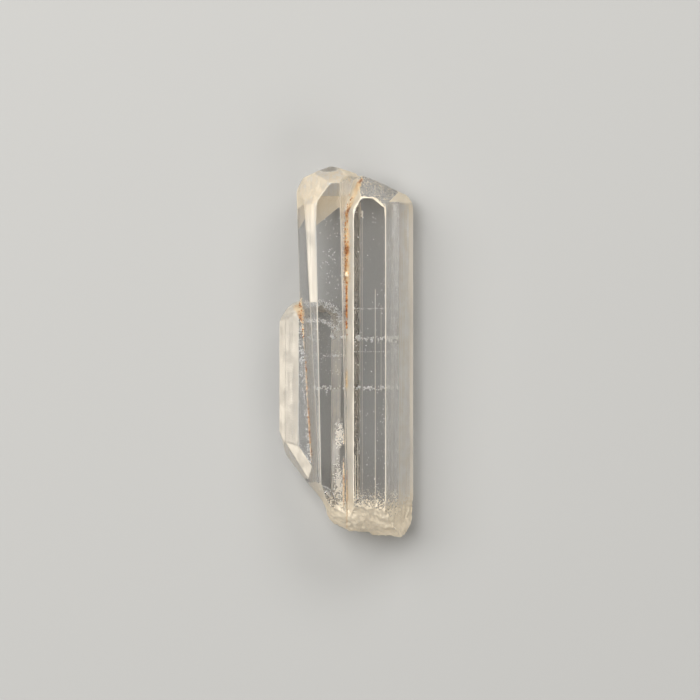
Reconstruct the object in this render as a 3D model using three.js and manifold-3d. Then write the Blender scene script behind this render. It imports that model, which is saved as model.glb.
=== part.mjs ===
// A loose, colourless phenakite specimen, lying on its side: three prismatic crystals that grew
// together side by side. Two tall ones share a re-entrant seam and end in flat pyramid faces, and
// a shorter, wider one lies half under them. The other end is a rough, etched break. It is one
// solid, as such crystals are.
//
// Millimetres, +Z up. The crystals' long axis (the c axis) runs along Y, with the faceted end at
// +Y and the broken end at -Y. The part lies on z = 0, and its box is centred on x = 0 and y = 0.

import * as THREE from "three";
import { mergeVertices } from "three/addons/utils/BufferGeometryUtils.js";
import Module from "manifold-3d";

const wasm = await Module();
wasm.setup();

// ---- Driving dimensions ----

const STOCK_END = 14; // the prisms are extruded from -14 to 14, and their ends are cut back
const CUTTER_SIZE = 40; // side of the block that takes away all that lies outside a face
const STRIA_WIDTH = 0.09; // width of a growth furrow along a prism face
const STRIA_DEPTH = 0.035; // and its depth

// Each crystal is described as crystals are drawn: by its faces. A prism face is given by the
// turn of its normal about the c axis, in degrees from +Z towards +X, and its distance out from
// the axis. An end face also has a tilt, the angle between its normal and the c axis, and meets
// the crystal's axis at the place along Y called "at". Striae are places across a prism face,
// from 0 at its first edge to 1 at its last, where a growth furrow runs the whole length.

const rightCrystal = {
  axis: { x: 2.05, z: 2.3 },
  prism: [
    { turn: 0, out: 2.3, striae: [0.29] }, // front
    { turn: 60, out: 1.53, striae: [0.76] }, // wide right flank
    { turn: 120, out: 2.39 },
    { turn: 180, out: 2.3, striae: [0.62] }, // underside, which it lies on
    { turn: 240, out: 2.2 },
    { turn: 300, out: 2.56 }, // its wall of the seam
  ],
  top: [
    { turn: 0, tilt: 37, at: 11.65 },
    { turn: 30, tilt: 58, at: 12.8 },
    { turn: 60, tilt: 45, at: 11.15 },
    { turn: 90, tilt: 22, at: 11.0 },
    { turn: 90, tilt: 52, at: 12.7 },
    { turn: 180, tilt: 38, at: 11.9 },
    { turn: 240, tilt: 37, at: 12.0 },
    { turn: 300, tilt: 63, at: 14.1 },
  ],
};

const leftCrystal = {
  axis: { x: -0.97, z: 2.65 },
  lean: { x: 0, z: 1.2 }, // degrees: the crystal isn't quite parallel to its neighbour
  prism: [
    { turn: 0, out: 1.45 }, // front
    { turn: 60, out: 1.41 }, // its wall of the seam
    { turn: 120, out: 2.2 },
    { turn: 180, out: 1.45, striae: [0.4] },
    { turn: 240, out: 1.67 },
    { turn: 300, out: 1.9 }, // left flank, which the tapering face below trims
    { turn: 330, out: 1.67 }, // narrow bevel between the flank and the front
  ],
  top: [
    { turn: 0, tilt: 37, at: 12.0 },
    { turn: 60, tilt: 40, at: 12.5 },
    { turn: 90, tilt: 16, at: 12.08 },
    { turn: 180, tilt: 38, at: 12.5 },
    { turn: 270, tilt: 23, at: 11.94 },
    { turn: 270, tilt: 62, at: 14.24 },
    { turn: 330, tilt: 70, at: 14.17 },
    { turn: 300, tilt: 91.1, out: 1.65 }, // tapers the flank: "out" is its distance at y = 0
  ],
};

const sideCrystal = {
  axis: { x: -2.2, z: 1.45 },
  lean: { x: -1.65, z: 0 },
  prism: [
    { turn: 0, out: 1.61 }, // front, mostly inside the left crystal
    { turn: 60, out: 1.8 },
    { turn: 120, out: 1.75 },
    { turn: 180, out: 1.35 },
    { turn: 240, out: 1.62 },
    { turn: 300, out: 2.07 },
    { turn: 330, out: 1.84 }, // wide left bevel
  ],
  bottom: [
    { turn: 278, tilt: 72.6, at: -11.9 },
    { turn: 325, tilt: 69.7, at: -10.85 },
    { turn: 293, tilt: 59.5, at: -9.2 },
    { turn: 235, tilt: 58, at: -9.0 },
  ],
};

// A rough end has a profile, seen from above: how far along Y it reaches at each x. In section it
// is a crown that falls away by "fall" at "reach" above or below its highest line. It is covered
// in scallops of two sizes, each with a depth and a spacing.

// the side crystal's own top, etched round
const etchedTop = {
  facing: 1,
  profile: [
    [-4.6, 2.1],
    [-4.2, 2.65],
    [-3.75, 3.2],
    [-3.1, 3.6],
    [-2.3, 3.45],
    [-1.4, 3.3],
    [-0.6, 2.8],
    [-0.15, 1.7],
    [0.4, 0],
  ],
  crown: { z: 1.2, fall: 1.1, reach: 1.9 },
  scallops: [
    { depth: 0.2, spacing: 0.8 },
    { depth: 0.08, spacing: 0.4 },
  ],
};

// the break across the foot of all three
const brokenEnd = {
  facing: -1,
  profile: [
    [-4.8, -4.7],
    [-3.9, -7.0],
    [-2.6, -8.6],
    [-1.65, -9.7],
    [-1.15, -11.1],
    [-0.1, -11.7],
    [1.4, -12.0],
    [2.9, -12.22],
    [3.7, -12.05],
    [4.2, -11.45],
    [4.45, -10.1],
    [4.75, -8.3],
  ],
  crown: { z: 2.1, fall: 1.8, reach: 2.5 },
  scallops: [
    { depth: 0.34, spacing: 1.25 },
    { depth: 0.14, spacing: 0.55 },
  ],
};

const CELL_SEED = 1000; // keeps the random numbers of neighbouring scallops apart
const ROUGH_CELL = 0.2; // spacing of the points on a rough end
const ROUGH_LOW = -1; // z where a rough end's points start
const ROUGH_HIGH = 5.2; // and where they stop

// ---- Solids ----

const radians = THREE.MathUtils.degToRad;

// A closed geometry as a solid that can be joined and cut.
function solidOf(geometry) {
  const bare = geometry.clone();
  bare.deleteAttribute("normal");
  bare.deleteAttribute("uv");
  const merged = mergeVertices(bare, 1e-4);
  return new wasm.Manifold(
    new wasm.Mesh({
      numProp: 3,
      vertProperties: merged.attributes.position.array,
      triVerts: new Uint32Array(merged.index.array),
    }),
  );
}

// A solid as a flat-shaded geometry.
function geometryOf(solid) {
  const { vertProperties, triVerts } = solid.getMesh();
  const indexed = new THREE.BufferGeometry();
  indexed.setAttribute("position", new THREE.BufferAttribute(vertProperties, 3));
  indexed.setIndex(new THREE.BufferAttribute(triVerts, 1));
  const flat = indexed.toNonIndexed();
  flat.computeVertexNormals();
  return flat;
}

// ---- Prism ----

// Where two neighbouring faces of a prism meet, in its cross-section.
function cornerBetween(a, b) {
  const [ax, ay] = [Math.sin(radians(a.turn)), Math.cos(radians(a.turn))];
  const [bx, by] = [Math.sin(radians(b.turn)), Math.cos(radians(b.turn))];
  const cross = ax * by - ay * bx;
  return new THREE.Vector2(
    (a.out * by - b.out * ay) / cross,
    (b.out * ax - a.out * bx) / cross,
  );
}

// The cross-section of a prism, with a V-shaped notch at each stria.
function outlineOf(prism) {
  const count = prism.length;
  const points = [];
  prism.forEach((face, i) => {
    const start = cornerBetween(prism[(i + count - 1) % count], face);
    const end = cornerBetween(face, prism[(i + 1) % count]);
    const half = STRIA_WIDTH / 2 / start.distanceTo(end);
    const normal = new THREE.Vector2(
      Math.sin(radians(face.turn)),
      Math.cos(radians(face.turn)),
    );
    points.push(start);
    for (const place of face.striae ?? []) {
      points.push(
        start.clone().lerp(end, place - half),
        start.clone().lerp(end, place).addScaledVector(normal, -STRIA_DEPTH),
        start.clone().lerp(end, place + half),
      );
    }
  });
  return points.reverse();
}

// ---- Flat end faces ----

// The block that lies outside a flat face. facing is 1 at the top end and -1 at the bottom.
function beyondFace({ turn, tilt, at = 0, out = 0 }, facing) {
  const normal = new THREE.Vector3(
    Math.sin(radians(tilt)) * Math.sin(radians(turn)),
    Math.cos(radians(tilt)) * facing,
    Math.sin(radians(tilt)) * Math.cos(radians(turn)),
  );
  const up = new THREE.Vector3(0, 0, 1);
  const block = new THREE.BoxGeometry(CUTTER_SIZE, CUTTER_SIZE, CUTTER_SIZE);
  block.translate(0, 0, CUTTER_SIZE / 2);
  block.applyQuaternion(new THREE.Quaternion().setFromUnitVectors(up, normal));
  block.translate(out * Math.sin(radians(turn)), at, out * Math.cos(radians(turn)));
  return solidOf(block);
}

// ---- Rough ends ----

// Where the scallop of one cell of a square grid has its lowest point: the same each time.
function scallopCentre(i, j) {
  const random = THREE.MathUtils.seededRandom;
  return new THREE.Vector2(i + random(i * CELL_SEED + j), j + random());
}

// How deep the surface is at (u, v), from 0 to 1: a bowl round each centre, and ridges between.
function scalloped(u, v) {
  const here = new THREE.Vector2(u, v);
  let nearest = Infinity;
  for (let i = Math.floor(u) - 1; i <= Math.floor(u) + 1; i++)
    for (let j = Math.floor(v) - 1; j <= Math.floor(v) + 1; j++)
      nearest = Math.min(nearest, here.distanceToSquared(scallopCentre(i, j)));
  return Math.max(0, 1 - nearest);
}

// The block that lies beyond a rough end.
function beyondRoughEnd({ facing, profile, crown, scallops }) {
  const [left, right] = [profile.at(0)[0], profile.at(-1)[0]];
  const columns = Math.ceil((right - left) / ROUGH_CELL);
  const layers = Math.ceil((ROUGH_HIGH - ROUGH_LOW) / ROUGH_CELL);
  const curve = new THREE.SplineCurve(profile.map(([x, y]) => new THREE.Vector2(x, y)));
  const rim = curve.getPoints(columns);
  const block = new THREE.BoxGeometry(columns, 1, layers, columns, 1, layers);
  const corner = new THREE.Vector3();
  const points = block.attributes.position;
  for (let n = 0; n < points.count; n++) {
    corner.fromBufferAttribute(points, n);
    const { x, y } = rim[Math.round(corner.x + columns / 2)];
    const z = ROUGH_LOW + (corner.z / layers + 0.5) * (ROUGH_HIGH - ROUGH_LOW);
    let back = crown.fall * ((z - crown.z) / crown.reach) ** 2;
    const along = z + Math.sign(z - crown.z) * back; // so that scallops aren't drawn out
    for (const { depth, spacing } of scallops)
      back += depth * scalloped(x / spacing, along / spacing);
    const onFace = corner.y * facing < 0;
    points.setXYZ(n, x, onFace ? y - facing * back : facing * CUTTER_SIZE, z);
  }
  return solidOf(block);
}

// ---- Crystals ----

function crystalFrom({ axis, lean = { x: 0, z: 0 }, prism, top = [], bottom = [] }) {
  const stock = new THREE.ExtrudeGeometry(new THREE.Shape(outlineOf(prism)), {
    depth: 2 * STOCK_END,
    bevelEnabled: false,
  });
  stock.rotateX(Math.PI / 2);
  stock.translate(0, STOCK_END, 0);
  let crystal = solidOf(stock);
  for (const face of top) crystal = crystal.subtract(beyondFace(face, 1));
  for (const face of bottom) crystal = crystal.subtract(beyondFace(face, -1));
  return crystal.rotate([lean.x, 0, lean.z]).translate([axis.x, 0, axis.z]);
}

const grown = crystalFrom(sideCrystal)
  .subtract(beyondRoughEnd(etchedTop))
  .add(crystalFrom(leftCrystal))
  .add(crystalFrom(rightCrystal))
  .subtract(beyondRoughEnd(brokenEnd));

const { min, max } = grown.boundingBox();
const centred = grown.translate([-(min[0] + max[0]) / 2, -(min[1] + max[1]) / 2, -min[2]]);

const crystal = new THREE.Mesh(
  geometryOf(centred),
  new THREE.MeshStandardMaterial({
    color: 0xe6e8e6,
    roughness: 0.08,
    metalness: 0,
    transparent: true,
    opacity: 0.5,
  }),
);
crystal.name = "crystal";

const part = new THREE.Group();
part.add(crystal);

export default part;
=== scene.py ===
import math

import bpy
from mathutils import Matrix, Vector


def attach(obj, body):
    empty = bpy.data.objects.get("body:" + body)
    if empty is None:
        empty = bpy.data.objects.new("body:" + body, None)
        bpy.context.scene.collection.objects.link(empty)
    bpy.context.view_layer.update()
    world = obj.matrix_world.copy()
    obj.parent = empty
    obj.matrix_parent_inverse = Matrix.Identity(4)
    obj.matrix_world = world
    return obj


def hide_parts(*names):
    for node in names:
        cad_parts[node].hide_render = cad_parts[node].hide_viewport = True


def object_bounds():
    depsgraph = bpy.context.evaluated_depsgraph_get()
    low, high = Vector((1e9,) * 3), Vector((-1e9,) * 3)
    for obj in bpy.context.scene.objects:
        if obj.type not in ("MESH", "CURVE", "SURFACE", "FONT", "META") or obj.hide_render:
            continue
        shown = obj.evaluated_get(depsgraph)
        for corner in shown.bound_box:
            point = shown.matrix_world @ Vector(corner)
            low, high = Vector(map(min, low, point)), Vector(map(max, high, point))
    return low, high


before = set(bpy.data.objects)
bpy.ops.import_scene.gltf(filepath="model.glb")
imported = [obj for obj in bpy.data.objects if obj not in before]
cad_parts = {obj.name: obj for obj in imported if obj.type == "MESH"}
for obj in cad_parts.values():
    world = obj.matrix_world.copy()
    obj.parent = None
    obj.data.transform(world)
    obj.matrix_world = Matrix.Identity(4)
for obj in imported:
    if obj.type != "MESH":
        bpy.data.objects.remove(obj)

# A loose phenakite specimen: three colourless prisms grown together, lying on a pale floor.
# All in metres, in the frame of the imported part: +Z up, +Y along the crystals. Where a note says
# mm, the setting is in plain millimetres.

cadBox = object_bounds()
mm = 0.001


def linear(hexColour):
    # sRGB hex to the linear values that the shaders take
    channels = [int(hexColour[i:i + 2], 16) / 255 for i in (1, 3, 5)]
    return [c / 12.92 if c <= 0.04045 else ((c + 0.055) / 1.055) ** 2.4 for c in channels] + [1.0]


def addNode(tree, kind, options=None, inputs=None):
    # one node with its options; an input is a value, or the output that is linked to it
    node = tree.nodes.new(kind)
    for name, value in (options or {}).items():
        setattr(node, name, value)
    for name, value in (inputs or {}).items():
        if isinstance(value, bpy.types.NodeSocket):
            tree.links.new(value, node.inputs[name])
        else:
            node.inputs[name].default_value = value
    return node


def newMaterial(name):
    material = bpy.data.materials.new(name)
    material.use_nodes = True
    return material, material.node_tree, material.node_tree.nodes["Principled BSDF"]


def setRamp(ramp, stops):
    # a ramp's stops, as position: colour, where a plain number is a level of grey
    elements = ramp.color_ramp.elements
    while len(elements) < len(stops):
        elements.new(1.0)
    for element, (position, colour) in zip(elements, sorted(stops.items())):
        element.position = position
        element.color = linear(colour) if isinstance(colour, str) else (colour, colour, colour, 1)


def mottledMaterial(name, look):
    # a dull solid colour that is clouded by a fine noise
    material, tree, shader = newMaterial(name)
    where = addNode(tree, "ShaderNodeTexCoord").outputs["Object"]
    noise = addNode(tree, "ShaderNodeTexNoise", inputs={
        "Vector": where, "Scale": look["mottlesPerMm"] / mm, "Detail": look["mottleDetail"]}).outputs[0]
    ramp = addNode(tree, "ShaderNodeValToRGB", inputs={0: noise})
    setRamp(ramp, look["colours"])
    tree.links.new(ramp.outputs[0], shader.inputs["Base Color"])
    shader.inputs["Roughness"].default_value = look["roughness"]
    return material


def onlyActive(piece):
    bpy.ops.object.select_all(action="DESELECT")
    piece.select_set(True)
    bpy.context.view_layer.objects.active = piece


def closeEdit():
    bpy.ops.object.mode_set(mode="OBJECT")


def openEdit(piece, kind="FACE"):
    # edit mode with nothing selected
    onlyActive(piece)
    bpy.ops.object.mode_set(mode="EDIT")
    bpy.ops.mesh.select_mode(type=kind)
    bpy.ops.mesh.select_all(action="DESELECT")


def selectFaces(piece, wanted):
    # edit mode with only those faces selected that the test says yes to
    openEdit(piece)
    closeEdit()
    for face in piece.data.polygons:
        face.select = wanted(face)
    bpy.ops.object.mode_set(mode="EDIT")


def applyModifier(piece, kind, settings):
    # adds a modifier with its settings and applies it at once
    onlyActive(piece)
    bpy.ops.object.modifier_add(type=kind)
    modifier = piece.modifiers[-1]
    for name, value in settings.items():
        setattr(modifier, name, value)
    bpy.ops.object.modifier_apply(modifier=modifier.name)


def applyPlace(piece):
    # leaves the object at the origin, with its place in its mesh
    onlyActive(piece)
    bpy.ops.object.transform_apply(location=True, rotation=True, scale=True)


merging = {"sameSpot": 0.001 * mm, "sameFace": 0.5}  # metres and degrees


def copyOfCrystal(name):
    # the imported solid's own mesh as a new piece, its loose triangles merged
    piece = bpy.data.objects.new(name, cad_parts["crystal"].data.copy())
    bpy.context.collection.objects.link(piece)
    piece.data.materials.clear()
    openEdit(piece)
    bpy.ops.mesh.select_all(action="SELECT")
    bpy.ops.mesh.remove_doubles(threshold=merging["sameSpot"])
    bpy.ops.mesh.dissolve_limited(angle_limit=math.radians(merging["sameFace"]))
    closeEdit()
    return piece


# camera: straight above the specimen, with a long lens
camera = {
    "place": (0.23 * mm, 0.16 * mm, 170 * mm),
    "lens": 134.3,  # on a 36 mm sensor, so 45 mm of floor fills the square image
    "clipStart": 10 * mm,
}


def makeCamera():
    bpy.ops.object.camera_add(location=camera["place"], rotation=(0, 0, 0))
    view = bpy.context.object
    view.name = "camera"
    view.data.lens = camera["lens"]
    view.data.clip_start = camera["clipStart"]
    bpy.context.scene.camera = view
    print("camera made")


# floor and light
studio = {
    "floorSize": 900 * mm,
    "floorDrop": 0.02 * mm,  # the air between the floor and the face that rests on it
    "floorColour": "#B1B0AD",
    "floorRoughness": 0.9,
    "floorShine": 0.1,
    "sky": {0.12: "#C2C0BC", 0.35: "#3E3D3A", 0.9: "#7A7976"},  # colour by height, horizon to zenith
    "skyStrength": 0.85,
    "lamps": {  # places and sizes in mm; each lamp faces the specimen
        "soft_box_left": {"place": (-150, 110, 270), "size": (300, 300), "watts": 1.5},
        "soft_box_far": {"place": (110, 220, 170), "size": (220, 90), "watts": 0.37},
        "soft_box_near": {"place": (130, -230, 190), "size": (220, 120), "watts": 0.26},
    },
}


def paperMaterial():
    # Uncoated backdrop paper, pressed smooth but not glazed: an even pale grey with hardly a shine.
    material, tree, shader = newMaterial("matt_paper_sheet")
    shader.inputs["Base Color"].default_value = linear(studio["floorColour"])
    shader.inputs["Roughness"].default_value = studio["floorRoughness"]
    shader.inputs["Specular IOR Level"].default_value = studio["floorShine"]
    return material


def makeStudio():
    bpy.ops.mesh.primitive_plane_add(size=studio["floorSize"], location=(0, 0, -studio["floorDrop"]))
    floor = bpy.context.object
    floor.name = "floor"
    applyPlace(floor)
    floor.data.materials.append(paperMaterial())

    for name, lamp in studio["lamps"].items():
        bpy.ops.object.light_add(type="AREA", location=[c * mm for c in lamp["place"]])
        box = bpy.context.object
        box.name = name
        box.data.shape = "RECTANGLE"
        box.data.size = lamp["size"][0] * mm
        box.data.size_y = lamp["size"][1] * mm
        box.data.energy = lamp["watts"]
        box.rotation_euler = (-box.location).to_track_quat("-Z", "Y").to_euler()

    world = bpy.data.worlds.new("studio_room")
    bpy.context.scene.world = world
    world.use_nodes = True
    tree = world.node_tree
    where = addNode(tree, "ShaderNodeTexCoord").outputs["Generated"]
    height = addNode(tree, "ShaderNodeSeparateXYZ", inputs={0: where}).outputs["Z"]
    ramp = addNode(tree, "ShaderNodeValToRGB", inputs={0: height})
    setRamp(ramp, studio["sky"])
    tree.links.new(ramp.outputs["Color"], tree.nodes["Background"].inputs["Color"])
    tree.nodes["Background"].inputs["Strength"].default_value = studio["skyStrength"]
    bpy.context.scene.view_settings.view_transform = "Standard"
    print("studio made")


# phenakite
facets = {
    # Every flat face of the prisms by the turn of its normal about +Y, from +Z towards +X, its tilt
    # from +Y, and where along x its middle lies in mm. Haze is the share of white that etching gives,
    # and pits is how far the face is pitted. On rightSeamWall, leftBevel and sideBevel the haze also
    # stands for light that these faces reflect: painted reflection as well as frost.
    "rightFront": {"turn": 0, "tilt": 90, "x": (0.3, 3), "haze": 0.0},
    "rightFlank": {"turn": 60, "tilt": 90, "x": (2, 5), "haze": 0.2},
    "rightEdge": {"turn": 120, "tilt": 90, "x": (2, 5), "haze": 0.25},
    "rightBack": {"turn": 180, "tilt": 90, "x": (1, 3.5), "haze": 0.03},
    # white partly frost, partly a painted reflection
    "rightSeamWall": {"turn": 300, "tilt": 90, "x": (-0.2, 0.6), "haze": 0.5},
    "rightPebbledTop": {"turn": 0, "tilt": 37, "x": (0.2, 3), "haze": 0.1, "pits": 1.0},
    "rightPebbledCorner": {"turn": 30, "tilt": 58, "x": (0.2, 5), "haze": 0.12, "pits": 1.0},
    "rightShoulder": {"turn": 60, "tilt": 45, "x": (2, 5), "haze": 0.12, "pits": 1.0},
    "rightPoint": {"turn": 90, "tilt": 22, "x": (0.2, 5), "haze": 0.12, "pits": 1.0},
    "rightSeamTop": {"turn": 300, "tilt": 63, "x": (-0.3, 1), "haze": 0.55, "pits": 0.3},
    "leftFront": {"turn": 0, "tilt": 90, "x": (-2, 0), "haze": 0.0},
    "leftFlank": {"turn": 300, "tilt": 91, "x": (-4, -1), "haze": 0.05},
    "leftBack": {"turn": 180, "tilt": 90, "x": (-1.6, 0.4), "haze": 0.05},
    # white partly frost, partly a painted reflection
    "leftBevel": {"turn": 330, "tilt": 90, "x": (-2.6, -1.6), "haze": 0.65},
    "leftSeamWall": {"turn": 60, "tilt": 90, "x": (-0.6, 0.3), "haze": 0.25},
    "leftPointFront": {"turn": 0, "tilt": 37, "x": (-2, 0.1), "haze": 0.3, "pits": 0.2},
    "leftPointSeam": {"turn": 60, "tilt": 40, "x": (-1, 1), "haze": 0.6, "pits": 0.6},
    "leftPointRight": {"turn": 90, "tilt": 16, "x": (-1.5, 1), "haze": 0.5, "pits": 0.5},
    "leftPointLeft": {"turn": 270, "tilt": 23, "x": (-4, 0), "haze": 0.5, "pits": 0.4},
    "leftPointBack": {"turn": 180, "tilt": 38, "x": (-4, 1), "haze": 0.3},
    "leftShoulder": {"turn": 270, "tilt": 62, "x": (-4, -1), "haze": 0.42, "pits": 0.3},
    "leftCorner": {"turn": 330, "tilt": 70, "x": (-4, -0.5), "haze": 0.42, "pits": 0.3},
    "sideFront": {"turn": 0, "tilt": 90, "x": (-3.5, -2), "haze": 0.06, "pits": 0.4},
    # white partly frost, partly a painted reflection
    "sideBevel": {"turn": 330, "tilt": 90, "x": (-4.2, -2.8), "haze": 0.55, "pits": 0.2},
    "sideFlank": {"turn": 300, "tilt": 90, "x": (-5, -3.8), "haze": 0.75, "pits": 0.2},
    "buriedFlank": {"turn": 120, "tilt": 90.8, "x": (-1.6, -0.2), "haze": 0.35, "pits": 0.3},
    "sideFootFront": {"turn": 325, "tilt": 110.3, "x": (-4, -2), "haze": 0.85},
    "sideFootLeft": {"turn": 293, "tilt": 120.5, "x": (-5, -2), "haze": 0.35, "pits": 0.4},
    "sideFootEdge": {"turn": 278, "tilt": 107.4, "x": (-5, -2), "haze": 0.5, "pits": 0.4},
    # faces with no place of their own: chipped ends, growth-line walls, prism faces on the underside
    "rough": {"haze": 0.5, "pits": 0.8},
    "stria": {"haze": 0.04},
    "hidden": {"haze": 0.04},
}
crown = (
    # the facets of the points, whose shared edges stay as they are
    "rightPebbledTop", "rightPebbledCorner", "rightShoulder", "rightPoint", "rightSeamTop",
    "leftPointFront", "leftPointSeam", "leftPointRight", "leftPointLeft", "leftPointBack",
    "leftShoulder", "leftCorner")
etched = [
    # the part of a facet that lies past a line: x and y in mm of a point on it, and the way past it
    {"facet": "leftBevel", "through": (-1.9, 3.2), "away": (0.0, -1.0), "haze": 0.15, "pits": 0.0},
    {"facet": "leftFlank", "through": (-2.9, 9.3), "away": (-0.48, 0.88), "haze": 0.5, "pits": 0.3},
    {"facet": "leftBack", "through": (-1.16, 8.76), "away": (-0.62, 0.785), "haze": 0.9, "pits": 0.0},
    {"facet": "leftBack", "through": (-1.0, 10.05), "away": (0.0, 1.0), "haze": 0.3, "pits": 0.0},
    {"facet": "rightShoulder", "through": (2.97, 9.93), "away": (0.73, -0.68), "haze": 0.65, "pits": 0.2},
    {"facet": "rightPoint", "through": (3.1, 10.0), "away": (1.0, -0.3), "haze": 0.5, "pits": 0.3},
    {"facet": "rightFlank", "through": (3.4, 0.0), "away": (1.0, 0.0), "haze": 0.32, "pits": 0.0},
    {"facet": "rightFlank", "through": (4.02, 0.0), "away": (1.0, 0.0), "haze": 0.7, "pits": 0.0},
]
ends = [
    # boxes of x and y in mm whose faces are cut fine, then rounded, pitted and chipped by so much;
    # all of it fades in from one y
    {"x": (-5, 5), "y": (8.5, 12.5), "from": 8.5, "round": 1.0, "pits": 0.0, "chips": 0.0},
    {"x": (-5, 5), "y": (-12.5, -9.2), "from": -9.2, "round": 0.35, "pits": 1.0, "chips": 1.0},
    {"x": (-5, -0.2), "y": (0.9, 3.8), "from": 0.9, "round": 1.0, "pits": 0.0, "chips": 0.0},
    {"x": (-5, -2.0), "y": (-9.2, -5.4), "from": -5.4, "round": 1.0, "pits": 0.0, "chips": 0.0},
]
phenakite = {
    "sameNormal": 4.0,  # degrees
    "flatArea": 0.12 * mm * mm,  # smaller faces belong to a chipped end
    "hiddenArea": 0.8 * mm * mm,  # larger ones with no name are prism faces on the underside
    "striaWidth": 0.12 * mm,  # a long face no wider than this is a wall of a growth line
    "striaLength": 2 * mm,
    "edgeHaze": 0.4,
    "brightEdgeHaze": 0.95,
    "brightEdgeZ": 4.45 * mm,  # the edges of the highest front face are the most worn, and are whitened further as a painted highlight those that face most nearly sideways are whitened as much, as a painted rim highlight
    "rimHighlightFacing": 0.9,  # and so are those that face most nearly sideways
    "sharpEdge": 14,  # degrees
    "narrowCorner": 32,  # degrees
    "wornEdge": 0.042 * mm,
    "wornSegments": 2,
    "cutterLift": 0.004 * mm,  # keeps the corners of the cutters off the face itself
    "boxEdge": 1e-8,  # a face that lies this near to the edge of a box is still in it
    "fineEdge": 0.14 * mm,
    "splits": 6,  # at most so many halvings
    "shortest": 0.005 * mm,  # shorter edges are taken out
    "fadeLength": 0.7,  # mm
    "smoothing": 0.5,  # of each pass
    "smoothingPasses": 16,
    "relief": {  # by vertex group: size and depth of the hollows, and the level that stays in place
        "chipped": {"size": 0.7 * mm, "depth": 0.24 * mm, "level": 0.8},
        "pitted": {"size": 0.24 * mm, "depth": 0.14 * mm, "level": 0.7},
    },
    "reliefDetail": 2,
}
growthLines = [
    # V grooves along the prisms, in mm: x and z on the facet, from y to y, half width
    {"x": 1.83, "z": 4.6, "y": (-9.8, 4.0), "half": 0.03},
    {"x": 1.0, "z": 4.6, "y": (-9.9, 9.0), "half": 0.02},
    {"x": 0.56, "z": 4.6, "y": (-9.4, -6.5), "half": 0.035},
    {"x": 0.73, "z": 4.6, "y": (-9.2, -5.6), "half": 0.025},
    {"x": 2.2, "z": 4.6, "y": (-2.5, 3.0), "half": 0.015},
]


def facetNormal(turn, tilt):
    turn, tilt = math.radians(turn), math.radians(tilt)
    return Vector((math.sin(tilt) * math.sin(turn), math.cos(tilt), math.sin(tilt) * math.cos(turn)))


def facetOf(mesh, face):
    # the name of the facet that a face belongs to
    along = [mesh.vertices[v].co.y for v in face.vertices]
    length = max(along) - min(along)
    if length > phenakite["striaLength"] and face.area / length < phenakite["striaWidth"]:
        return "stria"
    for name, facet in facets.items():
        low, high = facet.get("x", (0, 0))  # the last three have no x and match nothing here
        if not low * mm < face.center.x < high * mm or face.area < phenakite["flatArea"]:
            continue
        apart = math.degrees(face.normal.angle(facetNormal(facet["turn"], facet["tilt"])))
        if apart < phenakite["sameNormal"]:
            return name
    return "hidden" if face.area > phenakite["hiddenArea"] else "rough"


def facesAround(mesh):
    # the two faces at each edge
    around = {}
    for face in mesh.polygons:
        for key in face.edge_keys:
            around.setdefault(key, []).append(face.index)
    return around


def fillStriae(piece):
    # closes the growth lines, one flat face of the prisms at a time; they are cut again once the
    # edges are worn
    while True:
        mesh = piece.data
        flats = {}
        for (start, end), (one, two) in facesAround(mesh).items():
            if (mesh.vertices[start].co - mesh.vertices[end].co).length < phenakite["striaLength"]:
                continue
            kinds = [facetOf(mesh, mesh.polygons[face]) for face in (one, two)]
            if kinds.count("stria") == 1:
                flat = two if kinds[0] == "stria" else one
                facing = tuple(round(c, 1) for c in mesh.polygons[flat].normal)
                flats.setdefault(facing, set()).update((one, two))  # the flat and the wall beside it
        if not flats:
            return
        chosen = flats[min(flats)]
        selectFaces(piece, lambda face: face.index in chosen)
        bpy.ops.mesh.dissolve_faces(use_verts=True)
        closeEdit()


def etchFacets(piece):
    # parts off the etched stretches, then names every face and gives it its haze and pitting
    for part in etched:
        mesh = piece.data
        selectFaces(piece, lambda face: facetOf(mesh, face) == part["facet"])
        through = [c * mm for c in part["through"]] + [0.0]
        bpy.ops.mesh.bisect(plane_co=through, plane_no=(*part["away"], 0.0))
        closeEdit()
    mesh = piece.data
    kinds = [facetOf(mesh, face) for face in mesh.polygons]
    for name in ("haze", "pits", "end"):
        mesh.attributes.new(name, "FLOAT", "FACE")
    haze, pits = mesh.attributes["haze"].data, mesh.attributes["pits"].data
    for face, kind in zip(mesh.polygons, kinds):
        look = facets[kind]
        for part in etched:
            out = sum((face.center[i] / mm - part["through"][i]) * part["away"][i] for i in (0, 1))
            if kind == part["facet"] and out > 0:
                look = part
        haze[face.index].value = look["haze"]
        pits[face.index].value = look.get("pits", 0.0)
    return kinds


def isValley(mesh, one, two):
    # whether two faces meet in a hollow
    return (mesh.polygons[two].center - mesh.polygons[one].center).dot(mesh.polygons[one].normal) > 0


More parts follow.
